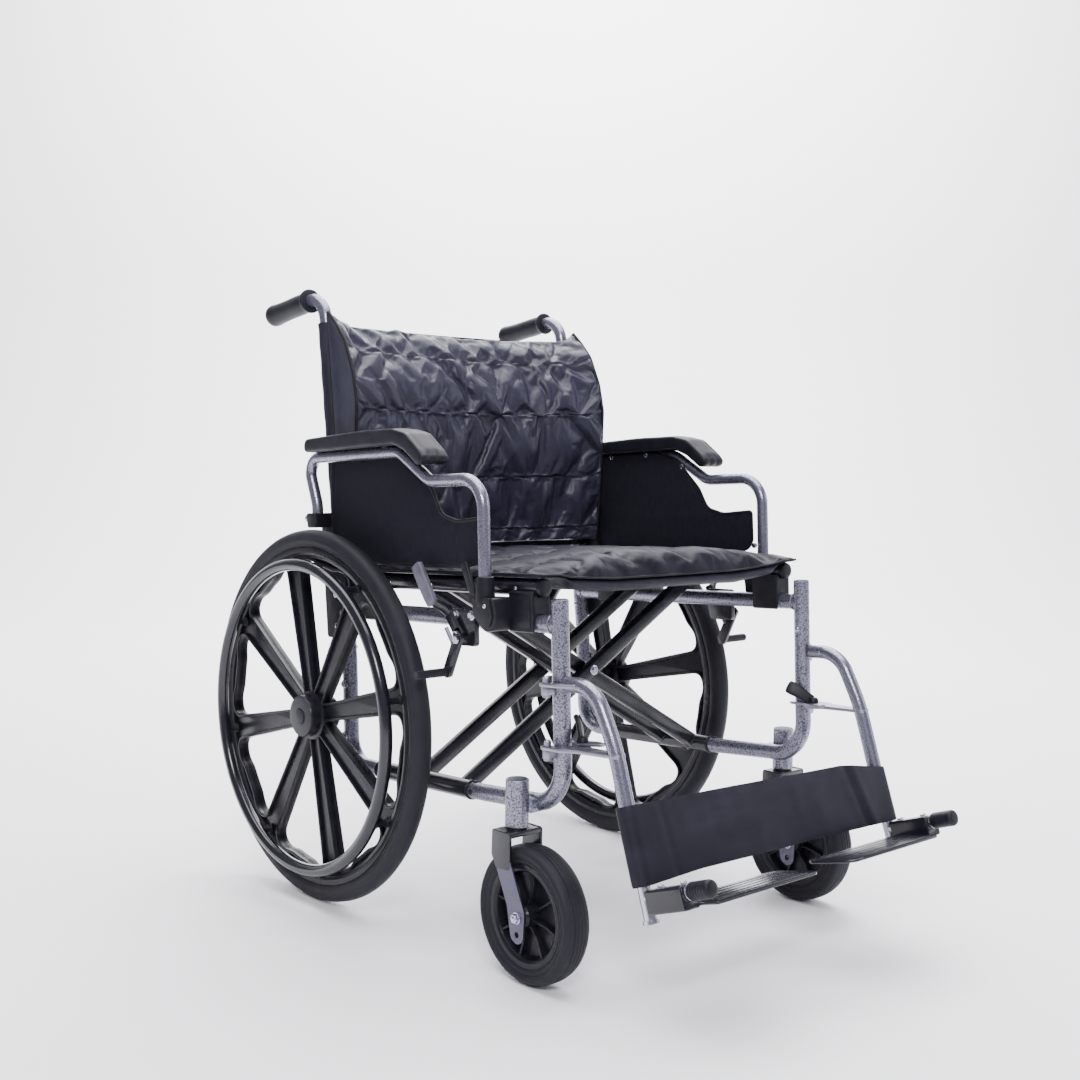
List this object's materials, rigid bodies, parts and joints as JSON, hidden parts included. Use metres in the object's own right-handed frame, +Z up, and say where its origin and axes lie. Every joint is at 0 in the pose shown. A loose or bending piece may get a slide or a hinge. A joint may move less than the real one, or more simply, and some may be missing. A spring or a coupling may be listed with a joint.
{
  "type": "folding wheelchair",
  "caption": "Wide folding self-propelled wheelchair with double cross brace, quilted seat and back, lift-off arms and swing-away leg rests.",
  "frame": {"origin": "on the ground under the middle of the overall box", "axes": "+Z up, the chair faces -Y, +X is the user's left"},
  "size_m": [0.76, 1.122, 1.0194],
  "materials": {
    "hammertone": "silver-vein hammertone powder coat, semi-gloss",
    "black_gloss": "black gloss powder coat",
    "black_plastic": "moulded, satin",
    "black_rubber": "skinned urethane foam, satin",
    "tyre": "solid polyurethane, matte",
    "nylon": "coated woven nylon, slight sheen",
    "quilt": "quilted shiny nylon over foam",
    "chrome": "polished",
    "steel": "zinc plated"
  },
  "bodies": {
    "frame_right": {"side_frame_right": "hammertone", "back_cane_right": "hammertone", "push_grip_right": "black_rubber", "seat_guide_front_right": "black_plastic", "seat_guide_rear_right": "black_plastic", "arm_socket_front_right": "black_plastic", "arm_socket_rear_right": "black_plastic", "brake_bracket_right": "steel", "rear_axle_right": "chrome", "back_sling": "nylon", "back_pad": "quilt"},
    "frame_left": {"side_frame_left": "hammertone", "back_cane_left": "hammertone", "push_grip_left": "black_rubber", "seat_guide_front_left": "black_plastic", "seat_guide_rear_left": "black_plastic", "arm_socket_front_left": "black_plastic", "arm_socket_rear_left": "black_plastic", "brake_bracket_left": "steel", "rear_axle_left": "chrome"},
    "brace_right": {"cross_brace_right": "black_gloss", "brace_bolt_front": "chrome", "brace_bolt_rear": "chrome"},
    "brace_left": {"cross_brace_left": "black_gloss"},
    "seat": {"seat_upholstery": "quilt"},
    "wheel_right": {"rear_tyre_right": "tyre", "rear_rim_right": "black_plastic", "rear_spokes_right": "black_plastic", "handrim_right": "black_gloss"},
    "caster_right": {"caster_fork_right": "black_plastic"},
    "caster_wheel_right": {"caster_tyre_right": "tyre", "caster_rim_right": "black_plastic"},
    "lever_right": {"brake_lever_right": "black_gloss"},
    "shoe_right": {"brake_shoe_right": "steel"},
    "arm_right": {"arm_frame_right": "hammertone", "arm_pad_right": "black_rubber", "arm_panel_right": "nylon"},
    "legrest_right": {"hanger_right": "hammertone", "calf_strap": "nylon"},
    "latch_right": {"hanger_latch_right": "black_plastic"},
    "extension_right": {"footrest_tube_right": "chrome", "footrest_bumper_right": "black_rubber"},
    "footplate_right": {"footplate_right": "black_plastic"},
    "wheel_left": {"rear_tyre_left": "tyre", "rear_rim_left": "black_plastic", "rear_spokes_left": "black_plastic", "handrim_left": "black_gloss"},
    "caster_left": {"caster_fork_left": "black_plastic"},
    "caster_wheel_left": {"caster_tyre_left": "tyre", "caster_rim_left": "black_plastic"},
    "lever_left": {"brake_lever_left": "black_gloss"},
    "shoe_left": {"brake_shoe_left": "steel"},
    "arm_left": {"arm_frame_left": "hammertone", "arm_pad_left": "black_rubber", "arm_panel_left": "nylon"},
    "legrest_left": {"hanger_left": "hammertone"},
    "latch_left": {"hanger_latch_left": "black_plastic"},
    "extension_left": {"footrest_tube_left": "chrome", "footrest_bumper_left": "black_rubber"},
    "footplate_left": {"footplate_left": "black_plastic"}
  },
  "joints": [
    {"name": "fold", "type": "hinge", "parent": "frame_right", "child": "brace_right", "pos_m": [-0.268, 0.04119, 0.22824], "axis": [0, -0.9983, 0.0576], "range_deg": [0, 43], "deforming": ["seat_upholstery", "back_sling", "back_pad", "calf_strap"]},
    {"name": "brace_cross", "type": "hinge", "parent": "brace_right", "child": "brace_left", "pos_m": [0, 0.01018, 0.38528], "axis": [0, -0.9983, 0.0576], "range_deg": [-86, 0]},
    {"name": "fold_left", "type": "hinge", "parent": "brace_left", "child": "frame_left", "pos_m": [0.268, 0.04119, 0.22824], "axis": [0, -0.9983, 0.0576], "range_deg": [0, 43]},
    {"name": "seat_fold", "type": "hinge", "parent": "brace_right", "child": "seat", "pos_m": [0.268, 0.00912, 0.5406], "axis": [0, -0.9983, 0.0576], "range_deg": [-43, 0]},
    {"name": "wheel_spin_right", "type": "hinge", "parent": "frame_right", "child": "wheel_right", "pos_m": [-0.3354, 0.25597, 0.305], "axis": [1, 0, 0], "continuous": true},
    {"name": "caster_swivel_right", "type": "hinge", "parent": "frame_right", "child": "caster_right", "pos_m": [-0.297, -0.21203, 0.21], "axis": [0, 0, 1], "continuous": true},
    {"name": "caster_spin_right", "type": "hinge", "parent": "caster_right", "child": "caster_wheel_right", "pos_m": [-0.297, -0.25103, 0.098], "axis": [1, 0, 0], "continuous": true},
    {"name": "wheel_lock_right", "type": "hinge", "parent": "frame_right", "child": "lever_right", "pos_m": [-0.294, -0.06996, 0.47204], "axis": [1, 0, 0], "range_deg": [0, 65]},
    {"name": "lock_shoe_right", "type": "hinge", "parent": "frame_right", "child": "shoe_right", "pos_m": [-0.307, -0.08528, 0.46691], "axis": [1, 0, 0], "range_deg": [0, 26]},
    {"name": "arm_lift_right", "type": "slide", "parent": "frame_right", "child": "arm_right", "axis": [0, 0.0576, 0.9983], "range_m": [0, 0.12]},
    {"name": "legrest_swing_right", "type": "hinge", "parent": "frame_right", "child": "legrest_right", "pos_m": [-0.291, -0.26304, 0.42407], "axis": [0, -0.0576, -0.9983], "range_deg": [0, 90]},
    {"name": "latch_release_right", "type": "hinge", "parent": "legrest_right", "child": "latch_right", "pos_m": [-0.257, -0.30282, 0.34223], "axis": [0, -0.0576, -0.9983], "range_deg": [0, 18], "stiffness_Nm_per_rad": 0.6, "springref_deg": -5.73},
    {"name": "footrest_height_right", "type": "slide", "parent": "legrest_right", "child": "extension_right", "axis": [0, -0.3338, -0.9426], "range_m": [-0.018, 0.05]},
    {"name": "footplate_flip_right", "type": "hinge", "parent": "extension_right", "child": "footplate_right", "pos_m": [-0.272, -0.48264, 0.17975], "axis": [0, -0.9397, 0.342], "range_deg": [0, 90]},
    {"name": "wheel_spin_left", "type": "hinge", "parent": "frame_left", "child": "wheel_left", "pos_m": [0.3354, 0.25597, 0.305], "axis": [1, 0, 0], "continuous": true},
    {"name": "caster_swivel_left", "type": "hinge", "parent": "frame_left", "child": "caster_left", "pos_m": [0.297, -0.21203, 0.21], "axis": [0, 0, 1], "continuous": true},
    {"name": "caster_spin_left", "type": "hinge", "parent": "caster_left", "child": "caster_wheel_left", "pos_m": [0.297, -0.25103, 0.098], "axis": [1, 0, 0], "continuous": true},
    {"name": "wheel_lock_left", "type": "hinge", "parent": "frame_left", "child": "lever_left", "pos_m": [0.294, -0.06996, 0.47204], "axis": [1, 0, 0], "range_deg": [0, 65]},
    {"name": "lock_shoe_left", "type": "hinge", "parent": "frame_left", "child": "shoe_left", "pos_m": [0.307, -0.08528, 0.46691], "axis": [1, 0, 0], "range_deg": [0, 26]},
    {"name": "arm_lift_left", "type": "slide", "parent": "frame_left", "child": "arm_left", "axis": [0, 0.0576, 0.9983], "range_m": [0, 0.12]},
    {"name": "legrest_swing_left", "type": "hinge", "parent": "frame_left", "child": "legrest_left", "pos_m": [0.291, -0.26304, 0.42407], "axis": [0, 0.0576, 0.9983], "range_deg": [0, 90]},
    {"name": "latch_release_left", "type": "hinge", "parent": "legrest_left", "child": "latch_left", "pos_m": [0.257, -0.30282, 0.34223], "axis": [0, 0.0576, 0.9983], "range_deg": [0, 18], "stiffness_Nm_per_rad": 0.6, "springref_deg": -5.73},
    {"name": "footrest_height_left", "type": "slide", "parent": "legrest_left", "child": "extension_left", "axis": [0, -0.3338, -0.9426], "range_m": [-0.018, 0.05]},
    {"name": "footplate_flip_left", "type": "hinge", "parent": "extension_left", "child": "footplate_left", "pos_m": [0.272, -0.48264, 0.17975], "axis": [0, 0.9397, -0.342], "range_deg": [0, 90]}
  ],
  "couplings": [
    {"joint": "brace_cross", "follows": "fold", "ratio": -2},
    {"joint": "fold_left", "follows": "fold", "ratio": 1},
    {"joint": "seat_fold", "follows": "fold", "ratio": -1},
    {"joint": "lock_shoe_right", "follows": "wheel_lock_right", "ratio": 0.4},
    {"joint": "footplate_flip_right", "follows": "fold", "ratio": 2.093},
    {"joint": "lock_shoe_left", "follows": "wheel_lock_left", "ratio": 0.4},
    {"joint": "footplate_flip_left", "follows": "fold", "ratio": 2.093}
  ]
}
